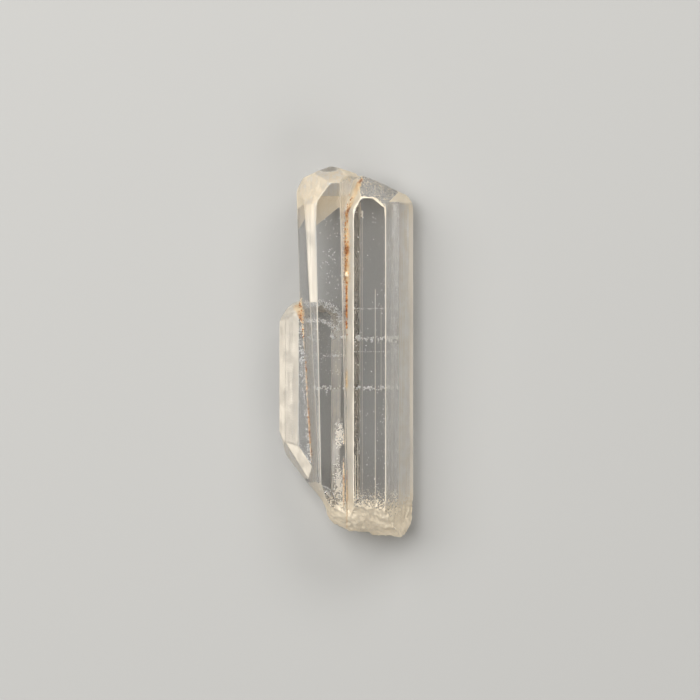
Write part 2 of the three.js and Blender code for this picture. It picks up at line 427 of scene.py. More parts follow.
def wearEdges(piece, kinds):
    # a narrow frosted chamfer on the edges of the prism faces
    mesh = piece.data
    around = facesAround(mesh)
    narrow = set()  # where a face comes to so thin a point that its edges can't be worn back
    for face in mesh.polygons:
        loop = [mesh.vertices[v].co for v in face.vertices]
        for number, vertex in enumerate(face.vertices):
            back = loop[number - 1] - loop[number]
            ahead = loop[(number + 1) % len(loop)] - loop[number]
            if back.angle(ahead) < math.radians(phenakite["narrowCorner"]):
                narrow.add(vertex)
    weight = mesh.attributes.new("bevel_weight_edge", "FLOAT", "EDGE").data
    for edge in mesh.edges:
        one, two = around[edge.key]
        names = {kinds[one], kinds[two]}
        bend = math.degrees(mesh.polygons[one].normal.angle(mesh.polygons[two].normal))
        worn = bend > phenakite["sharpEdge"] and not isValley(mesh, one, two)
        worn = worn and not narrow & set(edge.vertices)
        worn = worn and "rough" not in names and names - set(crown)
        weight[edge.index].value = 1.0 if worn else 0.0
    for _ in range(2):
        mesh.materials.append(None)  # the second slot marks the chamfers, until they have their haze
    applyModifier(piece, "BEVEL", {
        "limit_method": "WEIGHT", "width": phenakite["wornEdge"], "segments": phenakite["wornSegments"],
        "material": 1, "use_clamp_overlap": False, "loop_slide": True,
    })
    haze = piece.data.attributes["haze"].data
    for face in piece.data.polygons:
        if face.material_index == 1:
            # worn frost, whitened further on the top front face's edges as a painted highlight and on
            # sideways-facing edges as a painted rim highlight
            bright = face.center.z > phenakite["brightEdgeZ"]
            bright = bright or abs(face.normal.x) > phenakite["rimHighlightFacing"]
            haze[face.index].value = phenakite["brightEdgeHaze" if bright else "edgeHaze"]
            face.material_index = 0
    piece.data.materials.clear()


def cutGrowthLines(piece):
    # four-sided rods, sunk to their middle in the facets, leave V grooves with frosted walls
    cutters = []
    for line in growthLines:
        low, high = line["y"]
        bpy.ops.mesh.primitive_cylinder_add(
            vertices=4, radius=line["half"] * mm, depth=(high - low) * mm, rotation=(math.pi / 2, 0, 0),
            location=(line["x"] * mm, (low + high) / 2 * mm, line["z"] * mm + phenakite["cutterLift"]))
        cutters.append(bpy.context.object)
    for cutter in cutters:
        cutter.select_set(True)
    bpy.ops.object.join()
    cutter = bpy.context.object
    applyPlace(cutter)
    lit = cutter.data.attributes.new("haze", "FLOAT", "FACE").data
    for face in cutter.data.polygons:
        lit[face.index].value = phenakite["edgeHaze"]
    applyModifier(piece, "BOOLEAN", {"object": cutter, "operation": "DIFFERENCE", "solver": "EXACT"})
    bpy.data.objects.remove(cutter)


def faceLevels(piece, name):
    # a face attribute's values, as a plain list that stays true through edit mode
    return [level.value for level in piece.data.attributes[name].data]


def isInside(mesh, face, box):
    # whether all of a face lies in a box on plan
    for axis, (low, high) in enumerate((box["x"], box["y"])):
        along = [mesh.vertices[v].co[axis] for v in face.vertices]
        if min(along) < low * mm - phenakite["boxEdge"] or max(along) > high * mm + phenakite["boxEdge"]:
            return False
    return True


def cutEndsFine(piece):
    # the ends are parted from the prism faces, then split until no edge of theirs is long
    for box in ends:
        high = box["x"][1] * mm
        selectFaces(piece, lambda face: face.center.x < high)
        bpy.ops.mesh.bisect(plane_co=(0, box["from"] * mm, 0), plane_no=(0, 1, 0))
        closeEdit()
    mesh = piece.data
    end = mesh.attributes["end"].data
    for face in mesh.polygons:
        end[face.index].value = float(any(isInside(mesh, face, box) for box in ends))
    for _ in range(phenakite["splits"]):
        end = faceLevels(piece, "end")
        selectFaces(piece, lambda face: end[face.index] > 0.5)
        bpy.ops.mesh.quads_convert_to_tris(quad_method="BEAUTY", ngon_method="BEAUTY")
        closeEdit()
        end = faceLevels(piece, "end")
        fine = {key for face in piece.data.polygons if end[face.index] > 0.5 for key in face.edge_keys}
        openEdit(piece, "EDGE")
        closeEdit()
        for edge in piece.data.edges:
            start, stop = (piece.data.vertices[v].co for v in edge.vertices)
            edge.select = edge.key in fine and (start - stop).length > phenakite["fineEdge"]
        if not any(edge.select for edge in piece.data.edges):
            return
        bpy.ops.object.mode_set(mode="EDIT")
        bpy.ops.mesh.subdivide(number_cuts=1)
        closeEdit()
        end = faceLevels(piece, "end")
        selectFaces(piece, lambda face: end[face.index] > 0.5)
        bpy.ops.mesh.dissolve_degenerate(threshold=phenakite["shortest"])
        closeEdit()


def roundEnds(piece):
    # etching has rounded the ends off and pitted them
    mesh = piece.data
    pits, end = faceLevels(piece, "pits"), faceLevels(piece, "end")
    inEnd, depth = {}, {}
    for face in mesh.polygons:
        face.use_smooth = end[face.index] > 0.5
        for vertex in face.vertices:
            inEnd.setdefault(vertex, []).append(face.use_smooth)
            depth.setdefault(vertex, []).append(pits[face.index])
    rounded, pitted, chipped = (
        piece.vertex_groups.new(name=name) for name in ("rounded", "pitted", "chipped"))
    for vertex, tests in inEnd.items():
        if all(tests):
            y = mesh.vertices[vertex].co.y / mm
            far = min(1.0, min(abs(y - box["from"]) for box in ends) / phenakite["fadeLength"])
            here = [box for box in ends if box["y"][0] <= y <= box["y"][1]]
            pitting = max([box["pits"] for box in here] + [sum(depth[vertex]) / len(depth[vertex])])
            rounded.add([vertex], far * min(box["round"] for box in here), "REPLACE")
            chipped.add([vertex], far * max(box["chips"] for box in here), "REPLACE")
            pitted.add([vertex], far * pitting, "REPLACE")
    applyModifier(piece, "SMOOTH", {
        "factor": phenakite["smoothing"], "iterations": phenakite["smoothingPasses"],
        "vertex_group": "rounded"})
    for group, relief in phenakite["relief"].items():
        hollows = bpy.data.textures.new(group, "CLOUDS")
        hollows.noise_scale = relief["size"]
        hollows.noise_depth = phenakite["reliefDetail"]
        applyModifier(piece, "DISPLACE", {
            "texture": hollows, "texture_coords": "LOCAL", "vertex_group": group,
            "mid_level": relief["level"], "strength": relief["depth"],
        })


stains = {
    # where iron oxide has soaked in along the seams: x of the seam in mm at y = 0, its drift with y,
    # where it bends aside, the lowest z it shows at, and its half width in mm by y
    "longSeam": {
        "x": 0.03, "drift": 0.0, "bendFrom": 8.9, "bend": 0.42, "lowest": 2.6,
        "widths": {-11.6: 0.0, -11.2: 0.06, -10.4: 0.08, -10.0: 0.03, -9.0: 0.09, -7.6: 0.05, -7.0: 0.0,
                   -2.6: 0.0, -2.1: 0.1, -1.3: 0.08, -0.9: 0.0, 0.9: 0.03, 2.4: 0.07, 4.1: 0.12,
                   4.6: 0.2, 7.6: 0.2, 8.6: 0.12, 10.4: 0.2, 11.0: 0.16, 11.4: 0.0}},
    "sideSeam": {
        "x": -2.683, "drift": -0.0619, "bendFrom": 1.9, "bend": -0.22, "lowest": 1.7,
        "widths": {-7.4: 0.0, -6.8: 0.05, -5.0: 0.09, -3.6: 0.05, -2.0: 0.07, 0.0: 0.03, 1.2: 0.07,
                   1.9: 0.08, 2.5: 0.24, 3.3: 0.36, 3.7: 0.3}},
    "besideLongSeam": {
        "x": -0.17, "drift": 0.0, "bendFrom": 12.0, "bend": 0.0, "lowest": 2.6,
        "widths": {-10.1: 0.0, -9.5: 0.07, -8.4: 0.1, -7.4: 0.08, -6.8: 0.04, -6.4: 0.0,
                   -6.0: 0.0, -5.8: 0.06, -5.1: 0.04, -4.7: 0.0}},
}
frostPatches = [
    # lacy frost beside the long seam and where the points meet: middle and half size in mm
    {"middle": (-0.42, -5.2), "half": (0.33, 1.0), "haze": 0.42},
    {"middle": (-0.5, -8.2), "half": (0.34, 1.5), "haze": 0.42},
    {"middle": (0.45, 11.2), "half": (0.85, 0.5), "haze": 0.75},
]
clearTip = {"middle": (-1.2, 11.75), "half": (0.6, 0.19)}  # mm: a small face that stayed glassy
etchedPhenakite = {
    "ior": 1.66,
    "clear": "#FFFFFF",
    "frosted": "#E6DCCB",
    "soiled": "#EEDFC5",  # the frost of both ends holds a little iron oxide
    "soiledFrom": (8.0, 9.8),  # mm from the middle, where that sets in and where it is full
    "rust": {0.36: "#7A3E1A", 0.42: "#B9763A", 0.48: "#DDB27C", 0.6: "#EBD3AC"},
    "rustGrain": 0.6,  # how far the grain mottles the rust
    "polish": 0.02,
    "frostRoughness": 0.5,
    "roughFrom": 0.5,  # the haze from which frost is at its roughest
    "whiteFrom": (0.05, 0.4),  # haze where white sets in, and where it is full
    # Growth lines, clouding and the grain of etch pits, by their size in mm. Lines and pits are
    # finer on the real crystal, and are drawn as coarse as they need to show.
    "noises": {
        "lines": {"size": 0.14, "along": 0.03, "detail": 3.0, "roughness": 0.5},
        "cloud": {"size": 0.9, "along": 1.0, "detail": 5.0, "roughness": 0.6},
        "grain": {"size": 0.11, "along": 1.0, "detail": 3.0, "roughness": 0.6},
    },
    "midNoise": (0.35, 0.65),  # most of a noise lies between these levels
    "lineHaze": (0.75, 1.25),  # growth lines make the haze this much thinner and thicker
    "cloudHaze": (0.75, 1.2),  # and so does clouding
    "pitFloors": (0.5, 0.62),  # levels of the grain at a pit's rim and at its floor
    "floorHaze": 0.5,
    "tipRim": (0.9, 1.1),  # reach from the glassy face's middle, inside and outside its rim
    "tipHaze": 0.1,  # the share of haze that is left inside it
    # the foot: the y in mm where its frost sets in and is full, and how far cloud and grain move that
    "footEdge": (-6.1, -6.7),
    "footCloud": 1.4,
    "footGrain": 5.0,
    "footHaze": 0.9,
    "footPatches": (1.1, 0.6),  # the grain makes that this much thicker and thinner,
    "patchNoise": (0.35, 0.6),  # between these levels
    "glints": (0.52, 0.58),  # levels of the grain where the foot turns glossy
    "glintPolish": 0.8,
    # lace: the z in mm above which it lies, and the reach, moved by the grain, from bare to full
    "laceZ": (2.8, 3.0),
    "laceGrain": 4.0,
    "laceEdge": (2.8, 2.4),
    # stains: the grain thins and widens them, and they fade over some mm, sideways and upwards
    "stainNoise": (0.3, 0.7),
    "stainRagged": (0.3, 1.8),
    "stainSoft": 0.07,
    "stainFade": 0.2,
    "stainHaze": 0.6,
    "stainHalfLength": 12.0,  # mm from the middle to either end of the widths above
    "endless": 1e6,  # mm: an upright ellipse goes on up and down
    "pitDepth": 0.04,  # mm
    "hazeRelief": 0.4,  # depth of frosted faces and of growth lines against that of pits
    "lineRelief": 0.04,
}


def patternsOf(tree):
    # the place in mm, the facets' own haze and pits, and the noises that the finish is drawn with
    where = addNode(tree, "ShaderNodeTexCoord").outputs["Object"]
    place = addNode(tree, "ShaderNodeVectorMath", {"operation": "SCALE"}, {
        0: where, "Scale": 1 / mm}).outputs[0]
    at = {
        "place": place,
        "xyz": addNode(tree, "ShaderNodeSeparateXYZ", inputs={0: place}).outputs,
        "haze": addNode(tree, "ShaderNodeAttribute", {"attribute_name": "haze"}).outputs["Fac"],
        "pits": addNode(tree, "ShaderNodeAttribute", {"attribute_name": "pits"}).outputs["Fac"],
    }
    for name, noise in etchedPhenakite["noises"].items():
        drawn = addNode(tree, "ShaderNodeVectorMath", {"operation": "MULTIPLY"}, {
            0: place, 1: (1, noise["along"], 1)}).outputs[0]
        at[name] = addNode(tree, "ShaderNodeTexNoise", inputs={
            "Vector": drawn, "Scale": 1 / noise["size"], "Detail": noise["detail"],
            "Roughness": noise["roughness"]}).outputs[0]
    return at


def reachFrom(tree, at, patch):
    # how far out of an upright ellipse a place lies: 0 in its middle, 1 at its rim
    off = addNode(tree, "ShaderNodeVectorMath", {"operation": "SUBTRACT"}, {
        0: at["place"], 1: (*patch["middle"], 0.0)}).outputs[0]
    off = addNode(tree, "ShaderNodeVectorMath", {"operation": "DIVIDE"}, {
        0: off, 1: (*patch["half"], etchedPhenakite["endless"])}).outputs[0]
    return addNode(tree, "ShaderNodeVectorMath", {"operation": "LENGTH"}, {0: off}).outputs["Value"]


def facetFrost(tree, at):
    # each facet's own haze; the floors of its pits are whiter, and the small face at the tip is glassy
    look = etchedPhenakite
    low, high = look["pitFloors"]
    floors = addNode(tree, "ShaderNodeMapRange", inputs={
        "Value": at["grain"], "From Min": low, "From Max": high, "To Max": look["floorHaze"]}).outputs[0]
    floors = addNode(tree, "ShaderNodeMath", {"operation": "MULTIPLY"}, {
        0: floors, 1: at["pits"]}).outputs[0]
    frost = addNode(tree, "ShaderNodeMath", {"operation": "MAXIMUM"}, {
        0: at["haze"], 1: floors}).outputs[0]
    inner, outer = look["tipRim"]
    outside = addNode(tree, "ShaderNodeMapRange", inputs={
        "Value": reachFrom(tree, at, clearTip), "From Min": inner, "From Max": outer,
        "To Min": look["tipHaze"]}).outputs[0]
    return addNode(tree, "ShaderNodeMath", {"operation": "MULTIPLY"}, {0: frost, 1: outside}).outputs[0]


def footFrost(tree, at):
    # the frosted foot of the long crystals, with a ragged upper edge
    look = etchedPhenakite
    ragged = addNode(tree, "ShaderNodeMath", {"operation": "MULTIPLY_ADD"}, {
        0: at["cloud"], 1: look["footCloud"], 2: at["xyz"]["Y"]}).outputs[0]
    ragged = addNode(tree, "ShaderNodeMath", {"operation": "MULTIPLY_ADD"}, {
        0: at["grain"], 1: look["footGrain"], 2: ragged}).outputs[0]
    start, full = look["footEdge"]
    foot = addNode(tree, "ShaderNodeMapRange", {"interpolation_type": "SMOOTHSTEP"}, {
        "Value": ragged, "From Min": start, "From Max": full, "To Max": look["footHaze"]}).outputs[0]
    low, high = look["patchNoise"]
    thick, thin = look["footPatches"]
    patchy = addNode(tree, "ShaderNodeMapRange", inputs={
        "Value": at["grain"], "From Min": low, "From Max": high, "To Min": thick,
        "To Max": thin}).outputs[0]
    return addNode(tree, "ShaderNodeMath", {"operation": "MULTIPLY"}, {0: foot, 1: patchy}).outputs[0]


def laceFrost(tree, at, patch):
    # a patch of lacy frost on the upper faces
    look = etchedPhenakite
    low, high = look["laceZ"]
    up = addNode(tree, "ShaderNodeMapRange", inputs={
        "Value": at["xyz"]["Z"], "From Min": low, "From Max": high}).outputs[0]
    far = addNode(tree, "ShaderNodeMath", {"operation": "MULTIPLY_ADD"}, {
        0: at["grain"], 1: look["laceGrain"], 2: reachFrom(tree, at, patch)}).outputs[0]
    start, full = look["laceEdge"]
    lace = addNode(tree, "ShaderNodeMapRange", {"interpolation_type": "SMOOTHSTEP"}, {
        "Value": far, "From Min": start, "From Max": full, "To Max": patch["haze"]}).outputs[0]
    return addNode(tree, "ShaderNodeMath", {"operation": "MULTIPLY"}, {0: lace, 1: up}).outputs[0]


def seamStain(tree, at, seam):
    # iron oxide along one seam: 1 where it has soaked in
    look = etchedPhenakite
    x, y, z = (at["xyz"][axis] for axis in "XYZ")
    bend = addNode(tree, "ShaderNodeMath", {"operation": "SUBTRACT"}, {
        0: y, 1: seam["bendFrom"]}).outputs[0]
    bend = addNode(tree, "ShaderNodeMath", {"operation": "MAXIMUM"}, {0: bend, 1: 0.0}).outputs[0]
    middle = addNode(tree, "ShaderNodeMath", {"operation": "MULTIPLY_ADD"}, {
        0: bend, 1: seam["bend"], 2: seam["x"]}).outputs[0]
    middle = addNode(tree, "ShaderNodeMath", {"operation": "MULTIPLY_ADD"}, {
        0: y, 1: seam["drift"], 2: middle}).outputs[0]
    aside = addNode(tree, "ShaderNodeMath", {"operation": "SUBTRACT"}, {0: x, 1: middle}).outputs[0]
    aside = addNode(tree, "ShaderNodeMath", {"operation": "ABSOLUTE"}, {0: aside}).outputs[0]

    half = look["stainHalfLength"]
    along = addNode(tree, "ShaderNodeMapRange", inputs={
        "Value": y, "From Min": -half, "From Max": half}).outputs[0]
    width = addNode(tree, "ShaderNodeValToRGB", inputs={0: along})
    setRamp(width, {(spot + half) / (2 * half): wide for spot, wide in seam["widths"].items()})
    low, high = look["stainNoise"]
    thin, thick = look["stainRagged"]
    ragged = addNode(tree, "ShaderNodeMapRange", inputs={
        "Value": at["grain"], "From Min": low, "From Max": high, "To Min": thin,
        "To Max": thick}).outputs[0]
    reach = addNode(tree, "ShaderNodeMath", {"operation": "MULTIPLY"}, {
        0: width.outputs[0], 1: ragged}).outputs[0]
    inside = addNode(tree, "ShaderNodeMath", {"operation": "SUBTRACT"}, {0: reach, 1: aside}).outputs[0]
    inside = addNode(tree, "ShaderNodeMapRange", {"interpolation_type": "SMOOTHSTEP"}, {
        "Value": inside, "From Min": 0.0, "From Max": look["stainSoft"]}).outputs[0]
    above = addNode(tree, "ShaderNodeMapRange", inputs={
        "Value": z, "From Min": seam["lowest"],
        "From Max": seam["lowest"] + look["stainFade"]}).outputs[0]
    return addNode(tree, "ShaderNodeMath", {"operation": "MULTIPLY"}, {0: inside, 1: above}).outputs[0]


def brokenHaze(tree, at, frost):
    # growth lines and clouding make the frost thinner and thicker
    look = etchedPhenakite
    low, high = look["midNoise"]
    haze = frost
    for noise, (thin, thick) in ((at["lines"], look["lineHaze"]), (at["cloud"], look["cloudHaze"])):
        factor = addNode(tree, "ShaderNodeMapRange", inputs={
            "Value": noise, "From Min": low, "From Max": high, "To Min": thin,
            "To Max": thick}).outputs[0]
        haze = addNode(tree, "ShaderNodeMath", {"operation": "MULTIPLY"}, {
            0: haze, 1: factor}).outputs[0]
    return haze


def crystalColour(tree, at, haze, stain):
    # colourless where clear, warm white where frosted, and rusty where iron oxide has soaked in
    look = etchedPhenakite
    out = addNode(tree, "ShaderNodeMath", {"operation": "ABSOLUTE"}, {0: at["xyz"]["Y"]}).outputs[0]
    start, full = look["soiledFrom"]
    soil = addNode(tree, "ShaderNodeMapRange", {"interpolation_type": "SMOOTHSTEP"}, {
        "Value": out, "From Min": start, "From Max": full}).outputs[0]
    frosted = addNode(tree, "ShaderNodeMix", {"data_type": "RGBA"}, {
        0: soil, 6: linear(look["frosted"]), 7: linear(look["soiled"])}).outputs[2]
    start, full = look["whiteFrom"]
    white = addNode(tree, "ShaderNodeMapRange", inputs={
        "Value": haze, "From Min": start, "From Max": full}).outputs[0]
    colour = addNode(tree, "ShaderNodeMix", {"data_type": "RGBA"}, {
        0: white, 6: linear(look["clear"]), 7: frosted}).outputs[2]
    spots = addNode(tree, "ShaderNodeMath", {"operation": "MULTIPLY_ADD"}, {
        0: at["grain"], 1: look["rustGrain"], 2: -look["rustGrain"] / 2}).outputs[0]
    spots = addNode(tree, "ShaderNodeMath", {"operation": "ADD"}, {0: at["cloud"], 1: spots}).outputs[0]
    rust = addNode(tree, "ShaderNodeValToRGB", inputs={0: spots})
    setRamp(rust, look["rust"])
    return addNode(tree, "ShaderNodeMix", {"data_type": "RGBA"}, {
        0: stain, 6: colour, 7: rust.outputs[0]}).outputs[2]


def frostRoughness(tree, at, frost, foot):
    # frost is dull, except for the glints of freshly broken grains in the foot
    look = etchedPhenakite
    rough = addNode(tree, "ShaderNodeMapRange", inputs={
        "Value": frost, "From Max": look["roughFrom"], "To Min": look["polish"],
        "To Max": look["frostRoughness"]}).outputs[0]
    low, high = look["glints"]
    glints = addNode(tree, "ShaderNodeMapRange", inputs={
        "Value": at["grain"], "From Min": low, "From Max": high,
        "To Max": look["glintPolish"]}).outputs[0]
    glints = addNode(tree, "ShaderNodeMath", {"operation": "MULTIPLY"}, {
        0: glints, 1: foot}).outputs[0]
    dull = addNode(tree, "ShaderNodeMath", {"operation": "SUBTRACT"}, {0: 1.0, 1: glints}).outputs[0]
    return addNode(tree, "ShaderNodeMath", {"operation": "MULTIPLY"}, {0: rough, 1: dull}).outputs[0]


def etchRelief(tree, at, haze, foot):
    # fine etch pits in what is frosted, and faint growth lines all over
    look = etchedPhenakite
    depth = addNode(tree, "ShaderNodeMath", {"operation": "MULTIPLY_ADD"}, {
        0: haze, 1: look["hazeRelief"], 2: at["pits"]}).outputs[0]
    depth = addNode(tree, "ShaderNodeMath", {"operation": "ADD"}, {0: depth, 1: foot}).outputs[0]
    grit = addNode(tree, "ShaderNodeMath", {"operation": "MULTIPLY"}, {
        0: at["grain"], 1: depth}).outputs[0]
    relief = addNode(tree, "ShaderNodeMath", {"operation": "MULTIPLY_ADD"}, {
        0: at["lines"], 1: look["lineRelief"], 2: grit}).outputs[0]
    return addNode(tree, "ShaderNodeBump", inputs={
        "Height": relief, "Distance": look["pitDepth"] * mm}).outputs[0]


def phenakiteMaterial():
    # Phenakite, as grown and then etched: glassy faces of high refraction with growth lines along
    # the prism, and ends that acid soils have frosted to a warm white. Iron oxide stains the seams.
    look = etchedPhenakite
    material, tree, shader = newMaterial("etched_phenakite")
    shader.inputs["IOR"].default_value = look["ior"]
    at = patternsOf(tree)
    foot = footFrost(tree, at)
    frost = facetFrost(tree, at)
    for layer in [foot] + [laceFrost(tree, at, patch) for patch in frostPatches]:
        frost = addNode(tree, "ShaderNodeMath", {"operation": "MAXIMUM"}, {
            0: frost, 1: layer}).outputs[0]
    stain = 0.0
    for seam in stains.values():
        stain = addNode(tree, "ShaderNodeMath", {"operation": "MAXIMUM"}, {
            0: stain, 1: seamStain(tree, at, seam)}).outputs[0]
    stained = addNode(tree, "ShaderNodeMath", {"operation": "MULTIPLY"}, {
        0: stain, 1: look["stainHaze"]}).outputs[0]
    frost = addNode(tree, "ShaderNodeMath", {"operation": "MAXIMUM"}, {0: frost, 1: stained}).outputs[0]
    haze = brokenHaze(tree, at, frost)
    clear = addNode(tree, "ShaderNodeMath", {"operation": "SUBTRACT"}, {0: 1.0, 1: haze}).outputs[0]
    tree.links.new(crystalColour(tree, at, haze, stain), shader.inputs["Base Color"])
    tree.links.new(frostRoughness(tree, at, frost, foot), shader.inputs["Roughness"])
    tree.links.new(clear, shader.inputs["Transmission Weight"])
    tree.links.new(etchRelief(tree, at, haze, foot), shader.inputs["Normal"])
    return material


def makePhenakite():
    piece = copyOfCrystal("phenakite")
    fillStriae(piece)
    kinds = etchFacets(piece)
    wearEdges(piece, kinds)
    cutGrowthLines(piece)
    cutEndsFine(piece)
    roundEnds(piece)
    piece.data.materials.append(phenakiteMaterial())
    print("phenakite made,", len(piece.data.polygons), "faces")
    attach(piece, "root")
    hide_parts("crystal")
    return piece


# fluid inclusions, on cracks that have healed straight across the crystals
inclusions = {
    "radius": 0.03 * mm,
    "seed": 0,  # counts up from one scatter to the next
    "sizeSeed": 100,  # added to the seed, so that sizes and turns don't follow the places
    "turnSeed": 200,
    "sizes": (0.4, 1.7),  # each way of an inclusion against its crack's size
    "crackPatch": 0.4 * mm,  # size of the patches that the inclusions of a crack come in,
    "crackThin": 0.47,  # and how bare the crack is between them
    "strewnPatch": 0.5 * mm,  # the same where they are strewn
    "strewnThin": 0.42,
    "patchDetail": 2.0,
    "leanAbout": 3 * mm,  # the height at which a leaning crack has its stated y
    "arcSides": 72,
    "colours": {0.3: "#E6E1D6", 0.5: "#FFFFFF"},
    "mottlesPerMm": 8,
    "mottleDetail": 1.0,
    "roughness": 0.25,
    # y of each crack and its x range in mm, its lean from upright and its turn on plan in degrees,
    # how many inclusions to a square mm, their size and stray along y
    "cracks": {
        "healed_crack_upper": {
            "y": 2.81, "x": (0.45, 2.5), "lean": 0, "turn": 0, "density": 12, "size": 0.7, "stray": 0.03},
        "healed_crack_slanting": {
            "y": 2.9, "x": (2.5, 3.75), "lean": 0, "turn": -14, "density": 26, "size": 0.6, "stray": 0.02},
        "healed_crack_middle_right": {
            "y": 0.86, "x": (0.35, 2.45), "lean": 1, "turn": 3, "density": 9, "size": 1.0, "stray": 0.05},
        "healed_crack_middle_sparks": {
            "y": 0.76, "x": (0.35, 3.4), "lean": 2, "turn": 1, "density": 4, "size": 3.2, "stray": 0.2},
        "healed_crack_middle_flank": {
            "y": 0.94, "x": (2.45, 4.1), "lean": 1, "turn": -2, "density": 24, "size": 0.8, "stray": 0.02},
        "healed_crack_middle_left": {
            "y": 0.98, "x": (-1.2, 0.1), "lean": 2, "turn": 0, "density": 9, "size": 2.0, "stray": 0.12},
        "healed_crack_faint": {
            "y": 0.05, "x": (0.45, 3.7), "lean": 0, "turn": 0, "density": 9, "size": 0.6, "stray": 0.02},
        "healed_crack_short": {
            "y": -0.25, "x": (-1.6, 0.0), "lean": 2, "turn": 2, "density": 22, "size": 0.8, "stray": 0.04},
        "healed_crack_lower": {
            "y": -2.28, "x": (0.35, 4.1), "lean": 1, "turn": 0, "density": 8, "size": 2.0, "stray": 0.08},
        "healed_crack_lower_left": {
            "y": -2.3, "x": (-2.0, 0.1), "lean": 1, "turn": 1, "density": 8, "size": 2.0, "stray": 0.12},
    },
}
specks = {
    # single inclusions and chips strewn through a box: x, y and z range in mm, turn on plan in degrees,
    # how many to a square mm, and size; or along an upright arc: its radius in mm and the degrees
    # between which it runs, round the middle of the box
    "strewn_inclusions": [
        {"x": (-1.7, -0.25), "y": (2.8, 9.0), "z": (3.2, 3.9), "turn": 0, "density": 9, "size": 1.0},
        {"x": (-1.3, -0.5), "y": (4.2, 7.6), "z": (3.4, 3.9), "turn": 0, "density": 14, "size": 1.2},
        {"x": (0.4, 2.45), "y": (-9.0, 9.0), "z": (3.9, 4.5), "turn": 0, "density": 3.5, "size": 1.0},
        {"x": (1.6, 1.95), "y": (8.0, 8.6), "z": (4.3, 4.5), "turn": 0, "density": 26, "size": 1.3},
        {"x": (1.95, 2.42), "y": (-9.6, -1.8), "z": (4.35, 4.5), "turn": 0, "density": 13, "size": 0.8},
        {"x": (2.36, 2.46), "y": (-9.0, 8.6), "z": (4.5, 4.56), "turn": 0, "density": 14, "size": 0.9},
        {"x": (2.6, 3.5), "y": (-8.0, 8.6), "z": (2.0, 2.7), "turn": 0, "density": 2.2, "size": 0.9},
        {"x": (0.82, 0.88), "y": (1.3, 2.0), "z": (4.3, 4.5), "turn": 4, "density": 160, "size": 0.7},
        {"x": (-1.3, -1.2), "y": (-2.9, -2.4), "z": (3.6, 3.9), "turn": 0, "density": 200, "size": 1.0},
        {"arc": 0.9, "between": (5, 90), "x": (-1.66, -1.6), "y": (-9.43, -9.37), "z": (3.5, 3.8),
         "density": 240, "size": 0.7},
        {"arc": 0.66, "between": (10, 95), "x": (-1.66, -1.6), "y": (-9.43, -9.37), "z": (3.5, 3.8),
         "density": 200, "size": 0.6},
    ],
    "buried_end_veil": [
        {"x": (-1.9, -0.3), "y": (-1.4, 3.0), "z": (1.6, 3.0), "turn": 0, "density": 36, "size": 0.7},
        {"arc": 1.75, "between": (5, 96), "x": (-2.2, -1.7), "y": (1.2, 1.62), "z": (1.9, 2.6),
         "density": 170, "size": 1.1},
        {"arc": 2.05, "between": (40, 96), "x": (-2.2, -1.82), "y": (-0.1, 0.16), "z": (2.2, 2.8),
         "density": 170, "size": 1.1},
    ],
    "seam_chips": [
        {"x": (-2.98, -2.66), "y": (-2.6, 2.1), "z": (2.8, 2.9), "turn": 2, "density": 60, "size": 1.5},
        {"x": (-2.66, -2.34), "y": (-7.0, -1.6), "z": (2.9, 3.02), "turn": 4, "density": 60, "size": 1.5},
    ],
}


def scatterTree(name, settings):
    # points spread over the faces, thinned in patches, with a small lump on each, realized
    tree = bpy.data.node_groups.new(name, "GeometryNodeTree")
    for way in ("INPUT", "OUTPUT"):
        tree.interface.new_socket("Geometry", in_out=way, socket_type="NodeSocketGeometry")
    start = addNode(tree, "NodeGroupInput").outputs[0]
    inclusions["seed"] += 1
    seed = inclusions["seed"]
    points = addNode(tree, "GeometryNodeDistributePointsOnFaces", inputs={
        "Mesh": start, "Density": settings["density"] / mm / mm, "Seed": seed}).outputs["Points"]
    spot = addNode(tree, "GeometryNodeInputPosition").outputs[0]
    patches = addNode(tree, "ShaderNodeTexNoise", inputs={
        "Vector": spot, "Scale": 1 / settings["patch"],
        "Detail": inclusions["patchDetail"]}).outputs[0]
    sparse = addNode(tree, "FunctionNodeCompare", {"operation": "LESS_THAN"}, {
        0: patches, 1: settings["thin"]}).outputs[0]
    points = addNode(tree, "GeometryNodeDeleteGeometry", {"domain": "POINT"}, {
        0: points, 1: sparse}).outputs[0]
    stray = addNode(tree, "FunctionNodeRandomValue", {"data_type": "FLOAT_VECTOR"}, {
        0: [-c for c in settings["stray"]], 1: settings["stray"], "Seed": seed}).outputs[0]
    points = addNode(tree, "GeometryNodeSetPosition", inputs={"Geometry": points, "Offset": stray}).outputs[0]
    lump = addNode(tree, "GeometryNodeMeshIcoSphere", inputs={
        "Radius": settings["radius"], "Subdivisions": 1}).outputs[0]
    small, large = inclusions["sizes"]
    size = addNode(tree, "FunctionNodeRandomValue", {"data_type": "FLOAT_VECTOR"}, {
        0: [small] * 3, 1: [large] * 3, "Seed": seed + inclusions["sizeSeed"]}).outputs[0]
    turn = addNode(tree, "FunctionNodeRandomValue", {"data_type": "FLOAT_VECTOR"}, {
        1: [math.tau] * 3, "Seed": seed + inclusions["turnSeed"]}).outputs[0]
    copies = addNode(tree, "GeometryNodeInstanceOnPoints", inputs={
        "Points": points, "Instance": lump, "Scale": size, "Rotation": turn}).outputs[0]
    solid = addNode(tree, "GeometryNodeRealizeInstances", inputs={0: copies}).outputs[0]
    addNode(tree, "NodeGroupOutput", inputs={0: solid})
    return tree


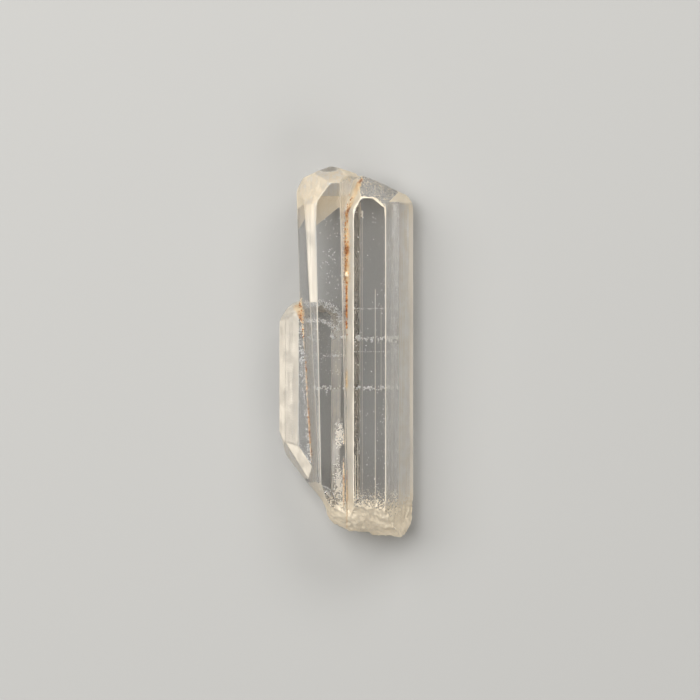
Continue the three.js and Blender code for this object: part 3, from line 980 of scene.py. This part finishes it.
def crossSection(name, crack):
    # the flat slice through the crystal where a crack has healed
    piece = copyOfCrystal(name)
    lean, turn = math.radians(crack["lean"]), math.radians(crack["turn"])
    openEdit(piece)
    bpy.ops.mesh.select_all(action="SELECT")
    bpy.ops.mesh.bisect(
        plane_co=(crack["x"][0] * mm, crack["y"] * mm, inclusions["leanAbout"]),
        plane_no=(-math.sin(turn), math.cos(turn) * math.cos(lean), math.sin(lean)),
        use_fill=True, clear_inner=True, clear_outer=True)
    for limit, side in zip(crack["x"], (-1, 1)):
        bpy.ops.mesh.select_all(action="SELECT")
        bpy.ops.mesh.bisect(plane_co=(limit * mm, 0, 0), plane_no=(side, 0, 0), clear_outer=True)
    bpy.ops.mesh.select_all(action="SELECT")
    bpy.ops.mesh.inset(thickness=inclusions["radius"] * (1 + 2 * crack["size"]))  # off the surface
    bpy.ops.mesh.select_all(action="INVERT")
    bpy.ops.mesh.delete(type="FACE")
    closeEdit()
    return piece


def inclusionMaterial():
    # Fluid inclusions: voids along a healed crack, whose curved walls throw light back as white.
    return mottledMaterial("fluid_inclusions", inclusions)


def makeInclusions():
    material = inclusionMaterial()
    for name, crack in inclusions["cracks"].items():
        piece = crossSection(name, crack)
        tree = scatterTree(name, {
            "density": crack["density"], "patch": inclusions["crackPatch"],
            "thin": inclusions["crackThin"], "stray": (0.0, crack["stray"] * mm, 0.0),
            "radius": inclusions["radius"] * crack["size"]})
        applyModifier(piece, "NODES", {"node_group": tree})
        piece.data.materials.clear()
        piece.data.materials.append(material)
        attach(piece, "root")
        print(name, len(piece.data.polygons), "faces")
    for name, boxes in specks.items():
        piece = strewIn(name, boxes, inclusions["radius"])
        piece.data.materials.append(material)
        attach(piece, "root")
        print(name, len(piece.data.polygons), "faces")


def arcStrip(box):
    # an upright strip bent round the middle of its box
    middle = [sum(box[axis]) / 2 * mm for axis in ("x", "y", "z")]
    bpy.ops.mesh.primitive_cylinder_add(
        vertices=inclusions["arcSides"], radius=box["arc"] * mm,
        depth=(box["z"][1] - box["z"][0]) * mm, end_fill_type="NOTHING")
    strip = bpy.context.object
    low, high = (math.radians(angle) for angle in box["between"])
    selectFaces(strip, lambda face: not low < math.atan2(face.center.y, face.center.x) < high)
    bpy.ops.mesh.delete(type="FACE")
    closeEdit()
    strip.location = middle
    applyPlace(strip)
    return strip


def flatSheet(box):
    # a level sheet half way up its box
    middle = [sum(box[axis]) / 2 * mm for axis in ("x", "y", "z")]
    bpy.ops.mesh.primitive_plane_add(size=1, location=middle, rotation=(0, 0, math.radians(box["turn"])))
    sheet = bpy.context.object
    sheet.scale = [(box[axis][1] - box[axis][0]) * mm for axis in ("x", "y")] + [1]
    applyPlace(sheet)
    return sheet


def drapedSheet(box, under):
    # a sheet let down from above onto a piece
    middle = [sum(box[axis]) / 2 * mm for axis in ("x", "y")] + [2 * cadBox[1][2]]
    across, along = crust["cells"]
    bpy.ops.mesh.primitive_grid_add(
        x_subdivisions=across, y_subdivisions=along, size=1, location=middle,
        rotation=(0, 0, math.radians(box["turn"])))
    sheet = bpy.context.object
    sheet.scale = [(box[axis][1] - box[axis][0]) * mm for axis in ("x", "y")] + [1]
    applyPlace(sheet)
    applyModifier(sheet, "SHRINKWRAP", {
        "target": under, "wrap_method": "PROJECT", "use_project_z": True,
        "use_negative_direction": True, "use_positive_direction": False})
    return sheet


def strewIn(name, boxes, radius, under=None):
    # small lumps strewn through boxes, or over a piece below them, joined as one piece
    sheets = []
    for number, box in enumerate(boxes):
        stray = (0.0, 0.0, 0.0)
        if under:
            sheet = drapedSheet(box, under)
        elif "arc" in box:
            sheet = arcStrip(box)
            stray = [(box[axis][1] - box[axis][0]) / 2 * mm for axis in ("x", "y")] + [0.0]
        else:
            sheet = flatSheet(box)
            stray = (0.0, 0.0, (box["z"][1] - box["z"][0]) / 2 * mm)
        tree = scatterTree(f"{name}_{number}", {
            "density": box["density"], "patch": inclusions["strewnPatch"],
            "thin": inclusions["strewnThin"], "stray": stray, "radius": radius * box["size"]})
        applyModifier(sheet, "NODES", {"node_group": tree})
        sheets.append(sheet)
    for sheet in sheets:
        sheet.select_set(True)
    bpy.ops.object.join()
    piece = bpy.context.object
    piece.name = name
    applyPlace(piece)
    piece.data.materials.clear()
    return piece


# iron oxide and clay in the seams
crust = {
    "radius": 0.045 * mm,
    "cells": (6, 60),  # of each sheet, across and along
    "colours": {0.36: "#6E3512", 0.5: "#B4702F", 0.62: "#DDAA6C"},
    "mottlesPerMm": 5,
    "mottleDetail": 3.0,
    "roughness": 0.85,
    # grains where the oxide is thickest: x and y range in mm, turn on plan in degrees, density and size
    "stretches": [
        {"x": (-3.06, -2.84), "y": (2.2, 3.3), "turn": 0, "density": 34, "size": 0.8},
        {"x": (-2.92, -2.74), "y": (0.9, 1.5), "turn": 4, "density": 170, "size": 0.9},
        {"x": (-2.56, -2.44), "y": (-4.4, -0.5), "turn": 3.5, "density": 60, "size": 0.7},
        {"x": (-2.34, -2.22), "y": (-7.0, -4.4), "turn": 3.5, "density": 60, "size": 0.7},
        {"x": (-0.08, 0.12), "y": (5.4, 8.4), "turn": 0, "density": 60, "size": 0.9},
        {"x": (-0.03, 0.07), "y": (1.1, 4.5), "turn": 0, "density": 700, "size": 0.65},
        {"x": (0.0, 0.3), "y": (8.6, 10.2), "turn": -14, "density": 30, "size": 0.8},
    ],
}
bead = {
    "place": (0.06, 4.98, 3.98),  # mm, as are the next three
    "size": (0.15, 0.2, 0.14),
    "lumps": 0.1,
    "lumpDepth": 0.06,
    "subdivisions": 4,
    "colours": {0.38: "#D39A5B", 0.5: "#EBD2A4", 0.6: "#F7EBD3"},
    "mottlesPerMm": 7,
    "mottleDetail": 3.0,
    "roughness": 0.75,
}


def crustMaterial():
    # Limonite, an earthy iron oxide that seeped into the seams and dried there: dull, brown to ochre.
    return mottledMaterial("earthy_limonite", crust)


def clayMaterial():
    # Clay with a little oxide in it, dried in the seam: dull, cream to ochre.
    return mottledMaterial("dried_clay", bead)


def makeCrust(under):
    piece = strewIn("limonite_crust", crust["stretches"], crust["radius"], under)
    piece.data.materials.append(crustMaterial())
    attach(piece, "root")
    print("crust made,", len(piece.data.polygons), "faces")


def makeBead():
    # the pale drop that closes the seam where the oxide is darkest
    bpy.ops.mesh.primitive_ico_sphere_add(
        subdivisions=bead["subdivisions"], radius=1, location=[c * mm for c in bead["place"]])
    piece = bpy.context.object
    piece.name = "clay_bead"
    piece.scale = [c * mm for c in bead["size"]]
    applyPlace(piece)
    lumps = bpy.data.textures.new("beadLumps", "CLOUDS")
    lumps.noise_scale = bead["lumps"] * mm
    applyModifier(piece, "DISPLACE", {
        "texture": lumps, "texture_coords": "LOCAL", "strength": bead["lumpDepth"] * mm})
    piece.data.materials.append(clayMaterial())
    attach(piece, "root")
    print("bead made")


makeCamera()
makeStudio()
dressedCrystal = makePhenakite()
makeInclusions()
makeCrust(dressedCrystal)
makeBead()

bpy.context.view_layer.update()
